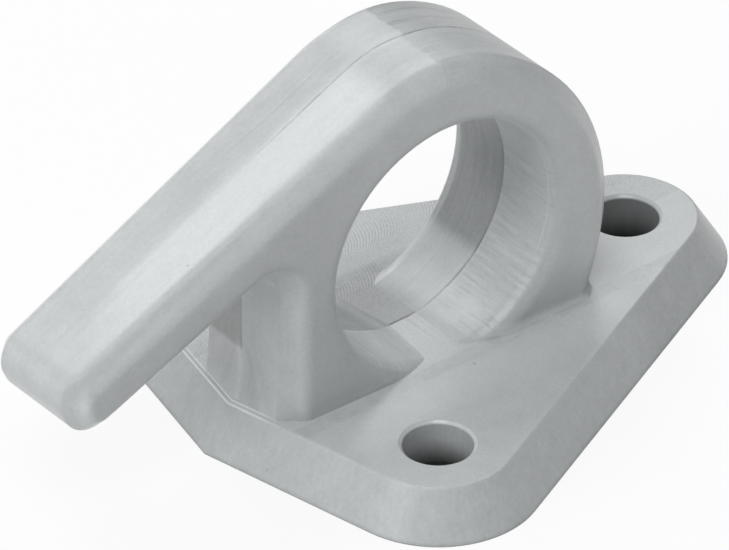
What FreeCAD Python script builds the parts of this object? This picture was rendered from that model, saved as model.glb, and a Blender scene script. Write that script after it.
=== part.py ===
import FreeCAD, Part
import math
import os

V = FreeCAD.Vector

# Rope hook for a deck: a kite-shaped mounting plate with three screw holes, an upright loop
# that a rope runs through, and a long arm that slopes down from the loop over the heel of
# the plate. It is moulded as one piece in a two-part mould that parts on the middle plane.
# Frame: X runs from the arm's tip towards the toe of the plate, Y across, Z up.
# The origin is under the middle of the line that joins the two side screw holes.

# Screw holes
screw_hole_diameter = 5.4
screw_rim_chamfer = 0.25
side_hole_pitch = 28.0
toe_hole_reach = 30.3

# Plate
plate_thickness = 3.8
plate_pad_radius = 8.05
plate_heel_reach = 11.23
plate_wall_lean = 2.33
plate_edge_round = 0.2

# Band that forms arm, loop and column, measured over the side holes
band_width = 12.0
band_taper_deg = 1.6
band_edge_bevel = 1.6
bevel_corner_round = 0.8

# Column under the arm: its front stands back from the plate's top edge at the heel
column_setback = 1.34
column_wall = 5.15
column_draft_deg = 2.0
column_throat_round = 1.8
foot_land = 0.2
foot_flare_height = 4.4
foot_round = 0.5

# Eye and the loop round it: the loop's centre lies above the eye's, a little to the heel
eye_diameter = 20.4
eye_dip = 0.045
eye_draft_deg = 0.8
eye_edge_round = 1.4
crown_margin = 2.08
crown_shift = 0.73
crown_rise = 3.51
loop_side_margin = 6.25
loop_side_start_deg = 72.6

# Arm: depth measured upright at the column's front, overhang from there to the tip
arm_top_slope_deg = 24.7
arm_under_slope_deg = 24.3
arm_depth = 6.18
arm_overhang = 20.58
arm_tip_round = 0.8

half_width = band_width / 2
screw_radius = screw_hole_diameter / 2
eye_radius = eye_diameter / 2
eye_centre_z = plate_thickness + eye_radius - eye_dip
crown_radius = eye_radius + crown_margin
crown_centre_z = eye_centre_z + crown_rise
root_z = plate_thickness - eye_dip - eye_edge_round - 1.0


def hull_tangent_angle():
    """Angle of the plate's long sides to X: they touch the side pad and the toe pad."""
    return math.atan2(side_hole_pitch / 2, toe_hole_reach)


def heel_side_angle():
    """Angle of the heel sides to X: from the heel point they touch the side pads."""
    dx = plate_heel_reach
    dy = side_hole_pitch / 2
    return math.atan2(dy, dx) + math.asin(plate_pad_radius / math.hypot(dx, dy))


def plate_outline_heel(inset):
    """Where the heel point of the outline lies when its sides are moved in by inset."""
    return -plate_heel_reach + inset / math.sin(heel_side_angle())


def column_front_x():
    return plate_outline_heel(plate_wall_lean) + column_setback


def eye_centre_x():
    return column_front_x() + column_wall + eye_radius


def plate_outline(inset, z):
    """Kite outline at height z, moved in by inset: round pads, long sides, blunt heel."""
    r = plate_pad_radius - inset
    long_side = hull_tangent_angle()
    heel_side = heel_side_angle()
    side_y = side_hole_pitch / 2

    def on_pad(cx, cy, angle):
        return V(cx + r * math.cos(angle), cy + r * math.sin(angle), z)

    toe_a = on_pad(toe_hole_reach, 0, math.pi / 2 - long_side)
    toe_m = on_pad(toe_hole_reach, 0, 0)
    toe_b = on_pad(toe_hole_reach, 0, long_side - math.pi / 2)
    near_a = on_pad(0, -side_y, long_side - math.pi / 2)
    near_b = on_pad(0, -side_y, -math.pi / 2 - heel_side)
    near_m = on_pad(0, -side_y, (long_side - heel_side - math.pi) / 2)
    heel = V(plate_outline_heel(inset), 0, z)

    def flip(p):
        return V(p.x, -p.y, p.z)

    edges = [
        Part.Arc(toe_a, toe_m, toe_b).toShape(),
        Part.LineSegment(toe_b, near_a).toShape(),
        Part.Arc(near_a, near_m, near_b).toShape(),
        Part.LineSegment(near_b, heel).toShape(),
        Part.LineSegment(heel, flip(near_b)).toShape(),
        Part.Arc(flip(near_b), flip(near_m), flip(near_a)).toShape(),
        Part.LineSegment(flip(near_a), toe_a).toShape(),
    ]
    return Part.Wire(edges)


def make_plate():
    low = plate_outline(0, 0)
    high = plate_outline(plate_wall_lean, plate_thickness)
    plate = Part.makeLoft([low, high], True, True)
    rim = [e for e in plate.Edges if min(v.Z for v in e.Vertexes) > plate_thickness - 1e-6]
    return plate.makeFillet(plate_edge_round, rim)


def polar(cx, cz, r, angle):
    """Point of the side view at an angle about a centre."""
    return V(cx + r * math.cos(angle), 0, cz + r * math.sin(angle))


def meet(p, angle_p, q, angle_q):
    """Where two side-view lines meet, each given by a point and its slope angle."""
    dx = math.cos(angle_p)
    dz = math.sin(angle_p)
    ex = math.cos(angle_q)
    ez = math.sin(angle_q)
    s = ((q.x - p.x) * ez - (q.z - p.z) * ex) / (dx * ez - dz * ex)
    return V(p.x + s * dx, 0, p.z + s * dz)


def rounded_corner(before, corner, after, r):
    """Tangent points and middle point of an arc of radius r at a corner of the side view."""
    u = (before - corner).normalize()
    v = (after - corner).normalize()
    half = u.getAngle(v) / 2
    reach = r / math.tan(half)
    bisector = (u + v).normalize()
    centre = corner + bisector * (r / math.sin(half))
    return corner + u * reach, centre - bisector * r, corner + v * reach


def column_side(front_shift, foot_shift):
    """Side view of the column's front: straight, then a flare down to the plate's edge.

    Inside the plate it runs on along the flare's last slope, down to the root.
    """
    front = column_front_x() + front_shift
    foot = plate_outline_heel(plate_wall_lean) + foot_land + foot_shift
    flare = front - foot
    flare_radius = (flare ** 2 + foot_flare_height ** 2) / (2 * flare)
    foot_angle = math.asin(foot_flare_height / flare_radius)
    top = V(front, 0, plate_thickness + foot_flare_height)
    middle = V(front - flare_radius * (1 - math.cos(foot_angle / 2)), 0,
               top.z - flare_radius * math.sin(foot_angle / 2))
    root = V(foot - (plate_thickness - root_z) * math.tan(foot_angle), 0, root_z)
    return root, V(foot, 0, plate_thickness), middle, top


def band_outline(front_shift, foot_shift):
    """Closed side view of arm, loop and column. The shifts move the column's front and foot."""
    top_slope = math.radians(arm_top_slope_deg)
    under_slope = math.radians(arm_under_slope_deg)
    crown_x = eye_centre_x() - crown_shift
    arm_start = polar(crown_x, crown_centre_z, crown_radius, math.pi / 2 + top_slope)
    heel_root, foot, flare_middle, flare_top = column_side(front_shift, foot_shift)
    column_line = V(column_front_x(), 0, 0)
    under_root = meet(arm_start, top_slope, column_line, math.pi / 2) - V(0, 0, arm_depth)
    throat = meet(under_root, under_slope, flare_top, math.pi / 2)
    tip_slope = math.pi / 2 + (top_slope + under_slope) / 2
    tip_line = column_line - V(arm_overhang, 0, 0)
    tip_point = meet(arm_start, top_slope, tip_line, math.pi / 2)
    tip_low = meet(under_root, under_slope, tip_point, tip_slope)
    tip_round = min(band_edge_bevel + arm_tip_round, 0.45 * tip_low.distanceToPoint(tip_point))
    t1, t2, t3 = rounded_corner(flare_top, throat, tip_low, column_throat_round)
    b1, b2, b3 = rounded_corner(throat, tip_low, tip_point, tip_round)
    c1, c2, c3 = rounded_corner(tip_low, tip_point, arm_start, tip_round)

    side_start = math.radians(loop_side_start_deg)
    side_radius = crown_radius + loop_side_margin
    side_x = crown_x - loop_side_margin * math.cos(side_start)
    side_z = crown_centre_z - loop_side_margin * math.sin(side_start)
    crown_end = polar(crown_x, crown_centre_z, crown_radius, side_start)
    crown_top = polar(crown_x, crown_centre_z, crown_radius,
                      (math.pi / 2 + top_slope + side_start) / 2)
    drop = math.asin((side_z - root_z) / side_radius)
    side_middle = polar(side_x, side_z, side_radius, (side_start - drop) / 2)
    toe_root = polar(side_x, side_z, side_radius, -drop)
    edges = [
        Part.LineSegment(heel_root, foot).toShape(),
        Part.Arc(foot, flare_middle, flare_top).toShape(),
        Part.LineSegment(flare_top, t1).toShape(),
        Part.Arc(t1, t2, t3).toShape(),
        Part.LineSegment(t3, b1).toShape(),
        Part.Arc(b1, b2, b3).toShape(),
        Part.LineSegment(b3, c1).toShape(),
        Part.Arc(c1, c2, c3).toShape(),
        Part.LineSegment(c3, arm_start).toShape(),
        Part.Arc(arm_start, crown_top, crown_end).toShape(),
        Part.Arc(crown_end, side_middle, toe_root).toShape(),
        Part.LineSegment(toe_root, heel_root).toShape(),
    ]
    return Part.Wire(edges)


def at_depth(wire, y):
    """Copy of a side-view wire, moved to a place across the part."""
    moved = wire.copy()
    moved.translate(V(0, y, 0))
    return moved


def on_near_side(point):
    """True on the near side face of the band, which tapers towards the arm's tip."""
    taper = math.radians(band_taper_deg)
    gap = (point.y + half_width) * math.cos(taper) + point.x * math.sin(taper)
    return abs(gap) < 1e-4


def edges_on_near_side(solid):
    return [e for e in solid.Edges if all(on_near_side(v.Point) for v in e.Vertexes)
            and on_near_side(e.valueAt((e.FirstParameter + e.LastParameter) / 2))]


def above_root(edges):
    return [e for e in edges if max(v.Z for v in e.Vertexes) > root_z + 1e-4]


def make_half_band():
    """Near half of arm, loop and column, as the near mould half shapes it."""
    depth = 1.25 * half_width
    side_view = band_outline(depth * math.tan(math.radians(column_draft_deg)),
                             depth / math.tan(heel_side_angle()))
    half = Part.makeLoft([band_outline(0, 0), at_depth(side_view, -depth)], True, True)
    size = 10 * band_width
    outside = Part.makeBox(size, size, size, V(-size / 2, -size, -size / 2))
    outside.rotate(V(0, 0, 0), V(0, 0, 1), -band_taper_deg)
    outside.translate(V(0, -half_width, 0))
    half = half.cut(outside)
    half = half.makeChamfer(band_edge_bevel, above_root(edges_on_near_side(half)))
    return half.makeFillet(bevel_corner_round, above_root(edges_on_near_side(half)))


def cut_half_eye(half):
    """Near half of the eye: a drafted bore, square to the near side, with a rounded mouth."""
    taper = math.radians(band_taper_deg)
    outward = V(-math.sin(taper), -math.cos(taper), 0)
    draft = math.tan(math.radians(eye_draft_deg))
    centre = V(eye_centre_x(), 0, eye_centre_z)
    back = eye_radius / 10
    depth = band_width
    bore = Part.makeCone(eye_radius - back * draft, eye_radius + depth * draft, back + depth,
                         centre - outward * back, outward)
    before = [e.CenterOfMass for e in edges_on_near_side(half)]
    cut = half.cut(bore)
    rim = [e for e in edges_on_near_side(cut)
           if all(e.CenterOfMass.distanceToPoint(c) > 1e-3 for c in before)]
    return cut.makeFillet(eye_edge_round, rim)


def make_arch():
    near = cut_half_eye(make_half_band())
    return near.fuse(near.mirror(V(0, 0, 0), V(0, 1, 0))).removeSplitter()


def make_screw_holes():
    """Straight holes through the plate, one cylinder for each screw."""
    places = [(0, -side_hole_pitch / 2), (0, side_hole_pitch / 2), (toe_hole_reach, 0)]
    depth = 3 * plate_thickness
    return [Part.makeCylinder(screw_radius, depth, V(x, y, -plate_thickness)) for x, y in places]


def toe_foot_edges(hook):
    """Edges where the band's two side faces meet the plate's top on the toe side of the eye."""
    found = []
    for e in hook.Edges:
        if e.Degenerated or e.CenterOfMass.x < eye_centre_x():
            continue
        ends = [v.Point for v in e.Vertexes]
        if (all(abs(p.z - plate_thickness) < 1e-4 for p in ends)
                and all(on_near_side(V(p.x, -abs(p.y), p.z)) for p in ends)):
            found.append(e)
    return found


def screw_rims(hook):
    return [e for e in hook.Edges if not e.Degenerated and isinstance(e.Curve, Part.Circle)
            and abs(e.Curve.Radius - screw_radius) < 1e-6
            and abs(e.Curve.Center.z - plate_thickness) < 1e-6]


def make_hook():
    hook = make_plate().fuse(make_arch()).removeSplitter()
    hook = hook.makeFillet(foot_round, toe_foot_edges(hook))
    hook = hook.cut(make_screw_holes())
    return hook.makeChamfer(screw_rim_chamfer, screw_rims(hook))


os.makedirs("parts", exist_ok=True)
rope_hook = make_hook()
rope_hook.exportStep("parts/rope_hook.step")
print("valid", rope_hook.isValid(), "solids", len(rope_hook.Solids), "volume", rope_hook.Volume)
print(rope_hook.BoundBox)
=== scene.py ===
import math

import bpy
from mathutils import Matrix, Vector

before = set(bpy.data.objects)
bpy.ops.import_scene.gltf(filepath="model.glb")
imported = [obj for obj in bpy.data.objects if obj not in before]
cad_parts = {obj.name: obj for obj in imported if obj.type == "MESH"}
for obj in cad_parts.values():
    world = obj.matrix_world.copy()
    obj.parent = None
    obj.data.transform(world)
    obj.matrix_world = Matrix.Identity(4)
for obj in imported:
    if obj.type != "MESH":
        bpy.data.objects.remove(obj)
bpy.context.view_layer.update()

# Camera. A long lens stands about 0.7 m off and looks down on the hook from its arm's side,
# as in the photograph: 35 degrees above the deck and 39 degrees round from the side view.
mm = 0.001
camera_elevation = math.radians(34.847)
camera_azimuth = math.radians(39.123)
camera_distance = 697.255 * mm
camera_aim = Vector((13.0, 10.683, 0.0)) * mm
camera_forward = Vector((math.sin(camera_azimuth) * math.cos(camera_elevation),
                         math.cos(camera_azimuth) * math.cos(camera_elevation),
                         -math.sin(camera_elevation)))
lens = bpy.data.cameras.new("lens")
lens.sensor_width = 36.0
lens.lens = 444.44
camera = bpy.data.objects.new("camera", lens)
camera.location = camera_aim - camera_forward * camera_distance
camera.rotation_mode = "QUATERNION"
camera.rotation_quaternion = camera_forward.to_track_quat("-Z", "Y")
bpy.context.scene.collection.objects.link(camera)
bpy.context.scene.camera = camera
bpy.context.scene.view_settings.view_transform = "Standard"

# Rope hook. One injection moulding in light cool-grey plastic with a satin skin: mounting
# plate, column, loop and sloping arm. It is screwed to a deck through the plate's three holes.
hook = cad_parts["rope_hook"]
plastic = bpy.data.materials.new("satin_grey_plastic")
plastic.use_nodes = True
nodes = plastic.node_tree.nodes
links = plastic.node_tree.links
skin = nodes["Principled BSDF"]


def feed(slot, value):
    """Put a number, a colour or another node's output on an input."""
    if isinstance(value, bpy.types.NodeSocket):
        links.new(value, slot)
    else:
        slot.default_value = value


def calc(operation, *values):
    """Math node; puts out its value."""
    node = nodes.new("ShaderNodeMath")
    node.operation = operation
    for slot, value in zip(node.inputs, values):
        feed(slot, value)
    return node.outputs["Value"]


def total(*values):
    """Sum of any number of values."""
    result = values[0]
    for value in values[1:]:
        result = calc("ADD", result, value)
    return result


def product(*values):
    """Product of any number of values."""
    result = values[0]
    for value in values[1:]:
        result = calc("MULTIPLY", result, value)
    return result


def fade(value, start, end, low=0.0, high=1.0):
    """Smooth step of a value from low at start to high at end."""
    node = nodes.new("ShaderNodeMapRange")
    node.interpolation_type = "SMOOTHSTEP"
    feed(node.inputs["Value"], value)
    feed(node.inputs["From Min"], start)
    feed(node.inputs["From Max"], end)
    feed(node.inputs["To Min"], low)
    feed(node.inputs["To Max"], high)
    return node.outputs["Result"]


def place(x, y, z):
    """Vector from three values."""
    node = nodes.new("ShaderNodeCombineXYZ")
    feed(node.inputs["X"], x)
    feed(node.inputs["Y"], y)
    feed(node.inputs["Z"], z)
    return node.outputs["Vector"]


def noise(vector, scale, detail=2.0, roughness=0.5):
    """Noise about zero, from -1 to 1."""
    node = nodes.new("ShaderNodeTexNoise")
    feed(node.inputs["Vector"], vector)
    node.inputs["Scale"].default_value = scale
    node.inputs["Detail"].default_value = detail
    node.inputs["Roughness"].default_value = roughness
    return calc("MULTIPLY_ADD", node.outputs["Fac"], 2.0, -1.0)


def around(value, centre, half_width):
    """One at the centre, falling smoothly to nothing at half_width on both sides."""
    return fade(calc("ABSOLUTE", calc("SUBTRACT", value, centre)), 0.0, half_width, 1.0, 0.0)


# Places on the hook, in millimetres of its own coordinates, and masks for its parts.
spot = nodes.new("ShaderNodeTexCoord")
in_mm = nodes.new("ShaderNodeMapping")
in_mm.inputs["Scale"].default_value = (1000.0, 1000.0, 1000.0)
links.new(spot.outputs["Object"], in_mm.inputs["Vector"])
p = in_mm.outputs["Vector"]
axes = nodes.new("ShaderNodeSeparateXYZ")
links.new(p, axes.inputs["Vector"])
x, y, z = axes.outputs["X"], axes.outputs["Y"], axes.outputs["Z"]
faces = nodes.new("ShaderNodeSeparateXYZ")
links.new(spot.outputs["Normal"], faces.inputs["Vector"])
y_off = calc("ABSOLUTE", y)
turned_up = fade(calc("ABSOLUTE", faces.outputs["Y"]), 0.85, 0.60)
far_half = fade(y, -0.06, 0.06)
near_half = calc("SUBTRACT", 1.0, far_half)

eye_x, eye_z, bore_radius = 7.84, 13.95, 10.2
from_eye_x = calc("SUBTRACT", x, eye_x)
from_eye_z = calc("SUBTRACT", z, eye_z)
eye_reach = calc("SQRT", total(product(from_eye_x, from_eye_x), product(from_eye_z, from_eye_z)))
eye_angle = calc("ARCTAN2", from_eye_z, from_eye_x)
in_bore = product(fade(eye_reach, bore_radius + 0.7, bore_radius + 0.35), fade(y_off, 6.1, 5.7),
                  fade(z, 3.78, 4.3))
outer_band = product(fade(eye_reach, bore_radius + 1.0, bore_radius + 1.6), fade(z, 4.0, 5.0),
                     fade(y_off, 6.8, 6.6))
plate_top = product(fade(calc("ABSOLUTE", calc("SUBTRACT", z, 3.8)), 0.10, 0.06),
                    fade(faces.outputs["Z"], 0.97, 0.995))

# Skin. Mottle and fine grain lie everywhere, with faint drawn lines along arm and loop and up
# the plate's walls. The band's outside is crowned over its near half and sunk along its far
# half, so that it takes a long streak of light.
mottle = noise(p, 0.55, 4.0, 0.6)
grain = noise(p, 3.4, 4.0, 0.65)
drawn = product(noise(place(calc("MULTIPLY", x, 0.06), calc("MULTIPLY", y, 1.5),
                            calc("MULTIPLY", z, 0.06)), 1.0, 4.0, 0.65), outer_band)
on_wall = product(fade(z, 3.75, 3.55), fade(faces.outputs["Z"], 0.90, 0.75))
wall_lines = product(noise(place(calc("MULTIPLY", x, 2.0), calc("MULTIPLY", y, 2.0),
                                 calc("MULTIPLY", z, 0.15)), 1.0, 3.0, 0.6), on_wall)
sweep = total(fade(y, -4.7, 0.5, 0.0, 0.40), fade(y, 0.0, 3.8, 0.0, -0.24), fade(y, 4.7, 6.0, 0.0, -0.16))
sweep = product(sweep, fade(z, 4.5, 9.0), fade(x, -26.8, -18.0),
                fade(eye_reach, bore_radius + 0.4, bore_radius + 2.0))
height = total(sweep, calc("MULTIPLY", mottle, 0.016), calc("MULTIPLY", grain, 0.0040),
               calc("MULTIPLY", drawn, 0.012), calc("MULTIPLY", wall_lines, 0.006))
tone = total(1.0, calc("MULTIPLY", mottle, 0.09), calc("MULTIPLY", grain, 0.13),
             calc("MULTIPLY", drawn, 0.09), calc("MULTIPLY", wall_lines, 0.10))

# Parting line of the two mould halves: a fine groove that wanders a little. It is faint along
# the arm's root and the crown, deep at the bottom of the eye, and a raised dotted flash on the
# eye's other side. A second drawn line runs beside it on the crown.
seam_y = calc("MULTIPLY_ADD", noise(place(calc("MULTIPLY", x, 0.3), calc("MULTIPLY", z, 0.3), 5.0),
                                    1.0, 3.0), 0.10, y)
patchy = fade(noise(place(calc("MULTIPLY", x, 0.5), calc("MULTIPLY", z, 0.5), 9.0), 1.0, 2.0),
              -0.35, 0.25, 0.25, 1.0)
low_in_eye = product(in_bore, fade(eye_angle, -0.45, -0.95))
column_side = product(in_bore, fade(x, 7.4, 6.8), fade(z, 8.0, 7.0))
seam_force = total(product(outer_band, patchy, fade(x, -9.0, 1.0), 0.8),
                   product(in_bore, patchy, 0.35), product(low_in_eye, 0.9))
seam_force = product(seam_force, calc("SUBTRACT", 1.0, column_side))
seam_force = total(seam_force, product(plate_top, fade(x, 6.6, 7.0), fade(x, 10.6, 10.2), 0.8))
seam = product(around(seam_y, 0.10, 0.15), seam_force)
# Painted highlight: a light line along the groove's near lip.
seam_lip_highlight = product(around(seam_y, -0.12, 0.14), seam_force)
flash = product(around(seam_y, 0.0, 0.13), column_side,
                fade(noise(p, 2.2, 2.0), -0.15, 0.15, 0.15, 1.0))
second = product(around(seam_y, 2.05, 0.16), outer_band, turned_up, fade(x, -9.0, -4.0),
                 fade(x, 4.0, 2.5))
height = total(height, calc("MULTIPLY", seam, -0.03), calc("MULTIPLY", second, -0.010),
               calc("MULTIPLY", flash, 0.03))
tone = total(tone, calc("MULTIPLY", seam, -0.40), calc("MULTIPLY", seam_lip_highlight, 0.09),
             calc("MULTIPLY", second, -0.10), calc("MULTIPLY", flash, 0.60))

# Crown. The arm's polish stops in a jagged line at the top of the loop; behind it the skin is
# duller, with dark drag marks along the band.
polish_end = total(x, product(noise(place(0.0, calc("MULTIPLY", y, 0.8), 2.0), 1.0, 3.0), 0.5),
                   calc("MULTIPLY", far_half, -0.35))
on_crown = product(outer_band, turned_up, fade(polish_end, 7.6, 7.9), fade(z, 20.0, 24.0))
streaks = noise(place(calc("MULTIPLY", x, 0.12), calc("MULTIPLY", y, 2.6), 8.0), 1.0, 4.0, 0.7)
streaks = product(streaks, on_crown)
drag = fade(noise(place(calc("MULTIPLY", x, 0.16), calc("MULTIPLY", y, 1.3), 3.0), 1.0, 4.0, 0.65),
            -0.05, 0.5)
drag = product(drag, on_crown, fade(y, -3.5, 1.5, 0.25, 1.0), fade(x, 19.0, 15.0))
tone = total(tone, calc("MULTIPLY", on_crown, -0.10), calc("MULTIPLY", drag, -0.27),
             calc("MULTIPLY", streaks, 0.13))
height = total(height, calc("MULTIPLY", drag, -0.008))

# Eye. Each mould half's core is drafted, so the halves shine unlike. The far half is turned
# finely round the bore; the near half has drag marks along it, as has the cradle under it.
# Painted shade darkens the bore's far half above its low part and the cradle's far half by the
# column; painted highlights lie on the low far bore and along both mouth rims, and painted light
# brightens the bore's near half.
core_draft = product(calc("SUBTRACT", 5.7, calc("MINIMUM", y_off, 5.7)), in_bore)
turned = product(noise(place(calc("MULTIPLY", eye_angle, 1.3), calc("MULTIPLY", y, 2.4), 1.3),
                       1.0, 4.0, 0.7), in_bore, far_half)
cradle = product(fade(z, 3.95, 3.85), around(x, 8.7, 2.2), fade(y_off, 6.0, 5.0))
along = noise(place(calc("MULTIPLY", eye_angle, 30.0), calc("MULTIPLY", y, 0.18), 7.1), 1.0, 4.0, 0.75)
patch = fade(noise(place(calc("MULTIPLY", eye_angle, 2.2), calc("MULTIPLY", y, 0.45), 3.0), 1.0, 2.0),
             -0.35, 0.15, 0.1, 1.0)
low_bore = fade(eye_angle, 0.45, 0.1)
scored = product(along, patch, near_half, total(product(in_bore, low_bore), cradle))
deep_score = product(fade(along, 0.25, 0.6), near_half, in_bore, fade(calc("ABSOLUTE", calc("ADD", eye_angle, 0.6)), 0.75, 0.6))
# Painted highlight along the near mouth's rounding.
near_mouth_highlight = product(around(y, -5.3, 0.10), fade(eye_reach, bore_radius + 0.9, bore_radius + 0.6),
                     fade(calc("ABSOLUTE", eye_angle), 0.55, 0.40), near_half)
# Painted shade over the far half of the bore, above its low part.
shaded_far_core = product(in_bore, far_half, fade(eye_angle, -0.80, -0.68))
# Painted shade on the far half of the cradle by the column.
shaded_cradle = product(column_side, far_half)
height = total(height, calc("MULTIPLY", core_draft, 0.055), calc("MULTIPLY", turned, 0.024),
               calc("MULTIPLY", scored, 0.040), calc("MULTIPLY", deep_score, -0.050))
tone = total(tone, calc("MULTIPLY", turned, 0.17), calc("MULTIPLY", scored, 0.42),
             calc("MULTIPLY", deep_score, -0.40), calc("MULTIPLY", shaded_far_core, -0.31),
             # painted highlight on the low far bore
             product(in_bore, far_half, fade(eye_angle, -0.68, -0.90), fade(x, 9.7, 10.1), 0.26),
             calc("MULTIPLY", shaded_cradle, -0.20), calc("MULTIPLY", near_mouth_highlight, 0.16),
             # painted light on the near half of the bore, more towards its bottom
             product(in_bore, near_half, fade(eye_angle, -0.2, 0.6, 0.06, 0.13)),
             product(in_bore, near_half, fade(eye_angle, -0.25, -0.6), 0.10),
             # painted highlight along the far mouth rim
             product(around(y, 5.3, 0.4), far_half, fade(calc("ABSOLUTE", eye_angle), 0.9, 0.6),
                     fade(eye_reach, bore_radius + 0.9, bore_radius + 0.6), 0.25))

# Plate. The mould was milled: rows of fine cutter arcs stand on the plate's top, mostly on its
# far side. Painted shade darkens that far side between column and loop, and the toe end; painted
# light brightens the near half of the top, and painted highlights run along the walls' top edge
# and the heel edges.
cutter, row_pitch = 5.1, 4.7
row = calc("FLOORED_MODULO", calc("SUBTRACT", y, 8.1), row_pitch)
from_path = calc("SUBTRACT", 5.0, row)
bulge = calc("SQRT", calc("SUBTRACT", cutter * cutter, product(from_path, from_path)))
arc = calc("SINE", calc("MULTIPLY", calc("SUBTRACT", x, bulge), 2.0 * math.pi / 0.30))
milled = product(arc, fade(row, 4.6, 1.5, 0.25, 1.0), fade(row, 0.0, 0.5), plate_top,
                 fade(y, 1.5, 4.5, 0.12, 1.0), fade(noise(p, 0.35, 2.0), -0.35, 0.25, 0.15, 1.0))
rough_cut = product(noise(p, 5.0, 3.0, 0.7), plate_top, fade(y, -1.0, 4.0, 0.25, 1.0))
# Painted shade on the plate's far top between column and loop.
shaded_between = product(plate_top, far_half, fade(y, 9.0, 5.0), fade(x, 16.0, 11.0), fade(x, -3.0, 1.0))
heel_angle = math.radians(78.0)
heel_off = total(calc("MULTIPLY", calc("ADD", x, 11.23), -math.sin(heel_angle)),
                 calc("MULTIPLY", y_off, math.cos(heel_angle)), 2.33)
# Painted highlights: a bright double line along the heel's top edges.
heel_highlight = product(total(around(heel_off, 0.08, 0.07), around(heel_off, -0.22, 0.06)),
                    fade(y, -5.5, -1.0, 0.0, 1.0), fade(y, 9.5, 7.5), fade(z, 3.3, 3.5),
                    fade(z, 3.95, 3.85))
height = total(height, calc("MULTIPLY", milled, 0.006), calc("MULTIPLY", rough_cut, 0.006))
tone = total(tone, calc("MULTIPLY", milled, 0.15), calc("MULTIPLY", rough_cut, 0.34),
             calc("MULTIPLY", shaded_between, -0.27),
             # painted light over the near half of the top, turning to slight shade at its near edge
             product(plate_top, near_half, fade(y, -13.0, -8.5, -0.045, 0.10)),
             # painted shade on the toe end, a painted highlight along the walls' top edge, and the heel's
             # painted highlights
             product(fade(z, 4.2, 3.9), fade(x, 21.0, 26.0), -0.11), product(around(z, 3.66, 0.14), on_wall, 0.07), calc("MULTIPLY", heel_highlight, 0.65))

# Column. Its foot flares out in faint fans of drawn streaks; painted shade darkens the far half above,
# and painted light and shade lie on a ridge and a hollow over the foot.
fan = noise(place(calc("MULTIPLY", calc("ARCTAN2", y, calc("SUBTRACT", 12.0, z)), 4.0),
                  calc("MULTIPLY", z, 0.1), 4.0), 1.0, 3.0, 0.6)
column_face = product(fade(x, -5.6, -6.4), fade(x, -11.6, -11.2), fade(z, 3.85, 4.1),
                      fade(y_off, 6.0, 5.2))
flare = product(fan, column_face, fade(z, 8.6, 7.6))
# Painted shade on the far half of the column's face, under the arm.
shaded = product(column_face, far_half, fade(z, 7.7, 8.3), fade(z, 16.5, 15.0))
foot_face = product(column_face, fade(z, 8.9, 8.0))
swing = calc("MULTIPLY", calc("SUBTRACT", 8.6, z), 0.17)
# Over the foot, a raised ridge carries a painted highlight and a hollow beside it painted shade.
lit_ridge = product(around(calc("ADD", y, swing), 0.35, 0.55), foot_face)
shaded_valley = product(around(calc("ADD", y, calc("MULTIPLY", swing, 2.2)), -0.6, 0.8), foot_face)
height = total(height, calc("MULTIPLY", flare, 0.05), calc("MULTIPLY", lit_ridge, 0.05),
               calc("MULTIPLY", shaded_valley, -0.08))
tone = total(tone, calc("MULTIPLY", flare, 0.17), calc("MULTIPLY", shaded, -0.34),
             calc("MULTIPLY", lit_ridge, 0.14), calc("MULTIPLY", shaded_valley, -0.09))

# Edges. Painted highlights lie along the roots on the plate, the corners at the tip's end and the
# near bevels of column and loop. Painted shade lies in a thin line where the roots meet the plate,
# along the foot of the plate's walls, over the far half of the arm's top and the crown, and down
# the arm's near face.
# Painted highlight along the roots' fillets on the plate.
root_highlight = product(around(z, 4.30, 0.42), fade(y_off, 5.8, 6.1), fade(y_off, 7.4, 7.1))
# Painted shade: a thin dark line in the crease where the roots meet the plate, broken by noise.
crease_shade = product(around(z, 3.84, 0.10), fade(y_off, 5.9, 6.2), fade(y_off, 7.6, 7.2),
               fade(noise(p, 0.6, 2.0), -0.2, 0.2, 0.3, 1.0))
# Painted highlight on the corners at the tip's end.
tip_corner_highlight = product(fade(x, -25.4, -26.2), around(y_off, 5.0, 0.9))
# Painted shade along the foot of the plate's walls.
foot_shade = product(around(z, 0.0, 0.35), on_wall)
# Painted highlight on the column's near bevel.
column_bevel_highlight = product(around(y, -5.4, 0.8), fade(x, -5.8, -6.3), fade(x, -9.0, -8.4),
                       fade(z, 4.4, 5.0), fade(z, 15.0, 13.0))
near_face = fade(faces.outputs["Y"], -0.80, -0.95)
# Painted highlight on the loop's near bevel.
loop_bevel_highlight = product(around(faces.outputs["Y"], -0.70, 0.28), outer_band, fade(x, 2.0, 7.0),
                     fade(z, 17.0, 22.0))
# Painted shade over the far half of the arm's top.
shaded_far_top = product(outer_band, turned_up, fade(y, 0.3, 1.3), fade(y, 5.6, 4.4), fade(x, -18.0, -8.0),
               fade(x, 9.0, 7.0))
tone = total(tone, calc("MULTIPLY", root_highlight, 0.12), calc("MULTIPLY", crease_shade, -0.20),
             calc("MULTIPLY", tip_corner_highlight, 0.26), calc("MULTIPLY", foot_shade, -0.18),
             calc("MULTIPLY", column_bevel_highlight, 0.07), calc("MULTIPLY", loop_bevel_highlight, 0.06),
             # painted shade over the far half of the arm's top, then over the crown's far half
             calc("MULTIPLY", shaded_far_top, -0.08), product(on_crown, far_half, -0.10),
             # painted shade down the arm's near face
             product(near_face, fade(x, 2.0, -8.0), fade(z, 9.0, 13.0), -0.07))

# Screw holes. Their rims carry a painted highlight and are a little smoother; inside, painted shade
# darkens the walls with depth, and more so in the toe's hole.
hole_reach = None
for hole_x, hole_y in ((0.0, -14.0), (0.0, 14.0), (30.3, 0.0)):
    dx = calc("SUBTRACT", x, hole_x)
    dy = calc("SUBTRACT", y, hole_y)
    reach = calc("SQRT", total(product(dx, dx), product(dy, dy)))
    hole_reach = reach if hole_reach is None else calc("MINIMUM", hole_reach, reach)
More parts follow.
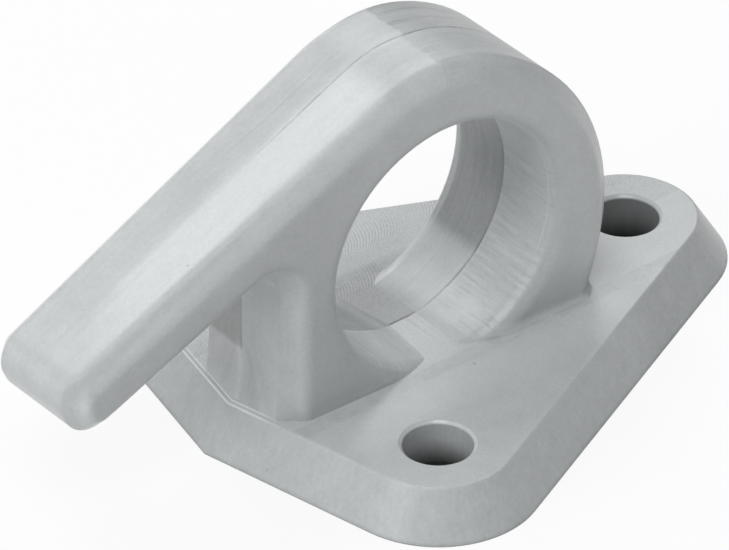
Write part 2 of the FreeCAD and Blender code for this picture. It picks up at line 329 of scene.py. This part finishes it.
# Painted highlight on the rims' chamfer.
rim_highlight = product(around(hole_reach, 2.84, 0.13), fade(z, 3.4, 3.6))
in_hole = product(fade(hole_reach, 2.80, 2.72), fade(z, 3.6, 3.4))
depth_shade = product(calc("ADD", 1.0, product(in_hole, fade(z, -0.4, 2.6, -0.85, 0.10))),
                      calc("ADD", 1.0, product(in_hole, fade(x, 15.0, 20.0, 0.0, -0.35))))
tone = product(total(tone, calc("MULTIPLY", rim_highlight, 0.28)), depth_shade)

# Nicks: a few small dark pits, far apart.
cells = nodes.new("ShaderNodeTexVoronoi")
cells.inputs["Scale"].default_value = 0.22
links.new(p, cells.inputs["Vector"])
cell_tint = nodes.new("ShaderNodeSeparateColor")
links.new(cells.outputs["Color"], cell_tint.inputs["Color"])
nick = product(fade(cells.outputs["Distance"], 0.045, 0.02), fade(cell_tint.outputs["Red"], 0.60, 0.62))
height = total(height, calc("MULTIPLY", nick, -0.03))
tone = total(tone, calc("MULTIPLY", nick, -0.18))

relief = nodes.new("ShaderNodeBump")
relief.inputs["Strength"].default_value = 1.0
relief.inputs["Distance"].default_value = 0.001
links.new(height, relief.inputs["Height"])
soft_edges = nodes.new("ShaderNodeBevel")
soft_edges.samples = 6
feed(soft_edges.inputs["Radius"], fade(z, 4.6, 5.6, 0.00015, 0.0010))
links.new(soft_edges.outputs["Normal"], relief.inputs["Normal"])
links.new(relief.outputs["Normal"], skin.inputs["Normal"])
tint = nodes.new("ShaderNodeVectorMath")
tint.operation = "SCALE"
tint.inputs["Vector"].default_value = (0.47, 0.49, 0.495)
links.new(tone, tint.inputs["Scale"])
links.new(tint.outputs["Vector"], skin.inputs["Base Color"])
feed(skin.inputs["Roughness"], total(0.32, calc("MULTIPLY", mottle, 0.03),
                                     calc("MULTIPLY", on_crown, 0.06), calc("MULTIPLY", rim_highlight, -0.08)))
hook.data.materials.clear()
hook.data.materials.append(plastic)

# Floor. A plain white sheet that runs far past the frame; the hook stands on it and keeps
# its soft shadow. What the camera and reflections see of it is lifted most of the way to
# white, but not below the screw holes, where its colour is painted near black as painted shade.
floor_half = 3.0
floor_mesh = bpy.data.meshes.new("floor")
floor_mesh.from_pydata([(-floor_half, -floor_half, 0), (floor_half, -floor_half, 0),
                        (floor_half, floor_half, 0), (-floor_half, floor_half, 0)],
                       [], [(0, 1, 2, 3)])
floor = bpy.data.objects.new("floor", floor_mesh)
bpy.context.scene.collection.objects.link(floor)
sheet_white = bpy.data.materials.new("white_sheet")
sheet_white.use_nodes = True
sheet_nodes = sheet_white.node_tree.nodes
sheet_links = sheet_white.node_tree.links
sheet = sheet_nodes["Principled BSDF"]
sheet.inputs["Roughness"].default_value = 0.9
sheet.inputs["Specular IOR Level"].default_value = 0.0
glow = sheet_nodes.new("ShaderNodeEmission")
glow.inputs["Strength"].default_value = 1.0
ray = sheet_nodes.new("ShaderNodeLightPath")
where = sheet_nodes.new("ShaderNodeTexCoord")
clear = sheet_nodes.new("ShaderNodeValue")
clear.outputs["Value"].default_value = 1.0
open_floor = clear.outputs["Value"]
for hole_x, hole_y in ((0.0, -14.0), (0.0, 14.0), (30.3, 0.0)):
    apart = sheet_nodes.new("ShaderNodeVectorMath")
    apart.operation = "DISTANCE"
    apart.inputs[1].default_value = (hole_x * mm, hole_y * mm, 0.0)
    sheet_links.new(where.outputs["Object"], apart.inputs[0])
    past = sheet_nodes.new("ShaderNodeMath")
    past.operation = "GREATER_THAN"
    past.inputs[1].default_value = 4.0 * mm
    sheet_links.new(apart.outputs["Value"], past.inputs[0])
    both = sheet_nodes.new("ShaderNodeMath")
    both.operation = "MULTIPLY"
    sheet_links.new(open_floor, both.inputs[0])
    sheet_links.new(past.outputs["Value"], both.inputs[1])
    open_floor = both.outputs["Value"]
# Painted shade: the sheet's colour is near black below the screw holes.
shade = sheet_nodes.new("ShaderNodeMapRange")
shade.inputs["To Min"].default_value = 0.03
shade.inputs["To Max"].default_value = 0.8
sheet_links.new(open_floor, shade.inputs["Value"])
sheet_links.new(shade.outputs["Result"], sheet.inputs["Base Color"])
mirrored = sheet_nodes.new("ShaderNodeMath")
mirrored.operation = "ADD"
sheet_links.new(ray.outputs["Is Glossy Ray"], mirrored.inputs[0])
sheet_links.new(ray.outputs["Is Transmission Ray"], mirrored.inputs[1])
straight = sheet_nodes.new("ShaderNodeMath")
straight.operation = "ADD"
straight.use_clamp = True
sheet_links.new(ray.outputs["Is Camera Ray"], straight.inputs[0])
sheet_links.new(mirrored.outputs["Value"], straight.inputs[1])
seen = sheet_nodes.new("ShaderNodeMath")
seen.operation = "MULTIPLY"
sheet_links.new(straight.outputs["Value"], seen.inputs[0])
sheet_links.new(open_floor, seen.inputs[1])
lift = sheet_nodes.new("ShaderNodeMath")
lift.operation = "MULTIPLY"
lift.inputs[1].default_value = 0.85
sheet_links.new(seen.outputs["Value"], lift.inputs[0])
blend = sheet_nodes.new("ShaderNodeMixShader")
sheet_links.new(lift.outputs["Value"], blend.inputs["Fac"])
sheet_links.new(sheet.outputs["BSDF"], blend.inputs[1])
sheet_links.new(glow.outputs["Emission"], blend.inputs[2])
sheet_links.new(blend.outputs["Shader"], sheet_nodes["Material Output"].inputs["Surface"])
floor_mesh.materials.append(sheet_white)

# Light. Large soft boxes and an even white surround, as in a light tent. The brightest ones
# stand behind the hook and high over the camera's left shoulder.
room = bpy.data.worlds.new("room")
room.use_nodes = True
surround = room.node_tree.nodes["Background"]
surround.inputs["Color"].default_value = (1.0, 1.0, 1.0, 1.0)
surround.inputs["Strength"].default_value = 0.22
bpy.context.scene.world = room

part_centre = Vector((5.0, 0.0, 12.0)) * mm
soft_boxes = {
    "back_high": (199, 61, 0.15, 0.82),
    "back_right": (145, 38, 0.30, 0.60),
    "back_low": (165, 20, 0.20, 0.45),
    "key": (315, 60, 0.30, 1.50),
    "left": (270, 32, 0.30, 0.95),
    "left_low": (232, 12, 0.30, 0.35),
    "right": (95, 50, 0.30, 0.45),
}


def add_soft_box(name, azimuth, elevation, size, strength):
    """Square lamp at 0.6 m, seen from the hook at an azimuth (0 is -Y, 90 is +X) and elevation."""
    a = math.radians(azimuth)
    e = math.radians(elevation)
    away = Vector((math.sin(a) * math.cos(e), -math.cos(a) * math.cos(e), math.sin(e)))
    data = bpy.data.lights.new(name, "AREA")
    data.shape = "SQUARE"
    data.size = size
    data.energy = strength
    lamp = bpy.data.objects.new(name, data)
    lamp.location = part_centre + away * 0.6
    lamp.rotation_mode = "QUATERNION"
    lamp.rotation_quaternion = (-away).to_track_quat("-Z", "Y")
    bpy.context.scene.collection.objects.link(lamp)
    return lamp


for name, (azimuth, elevation, size, strength) in soft_boxes.items():
    add_soft_box(name, azimuth, elevation, size, strength)
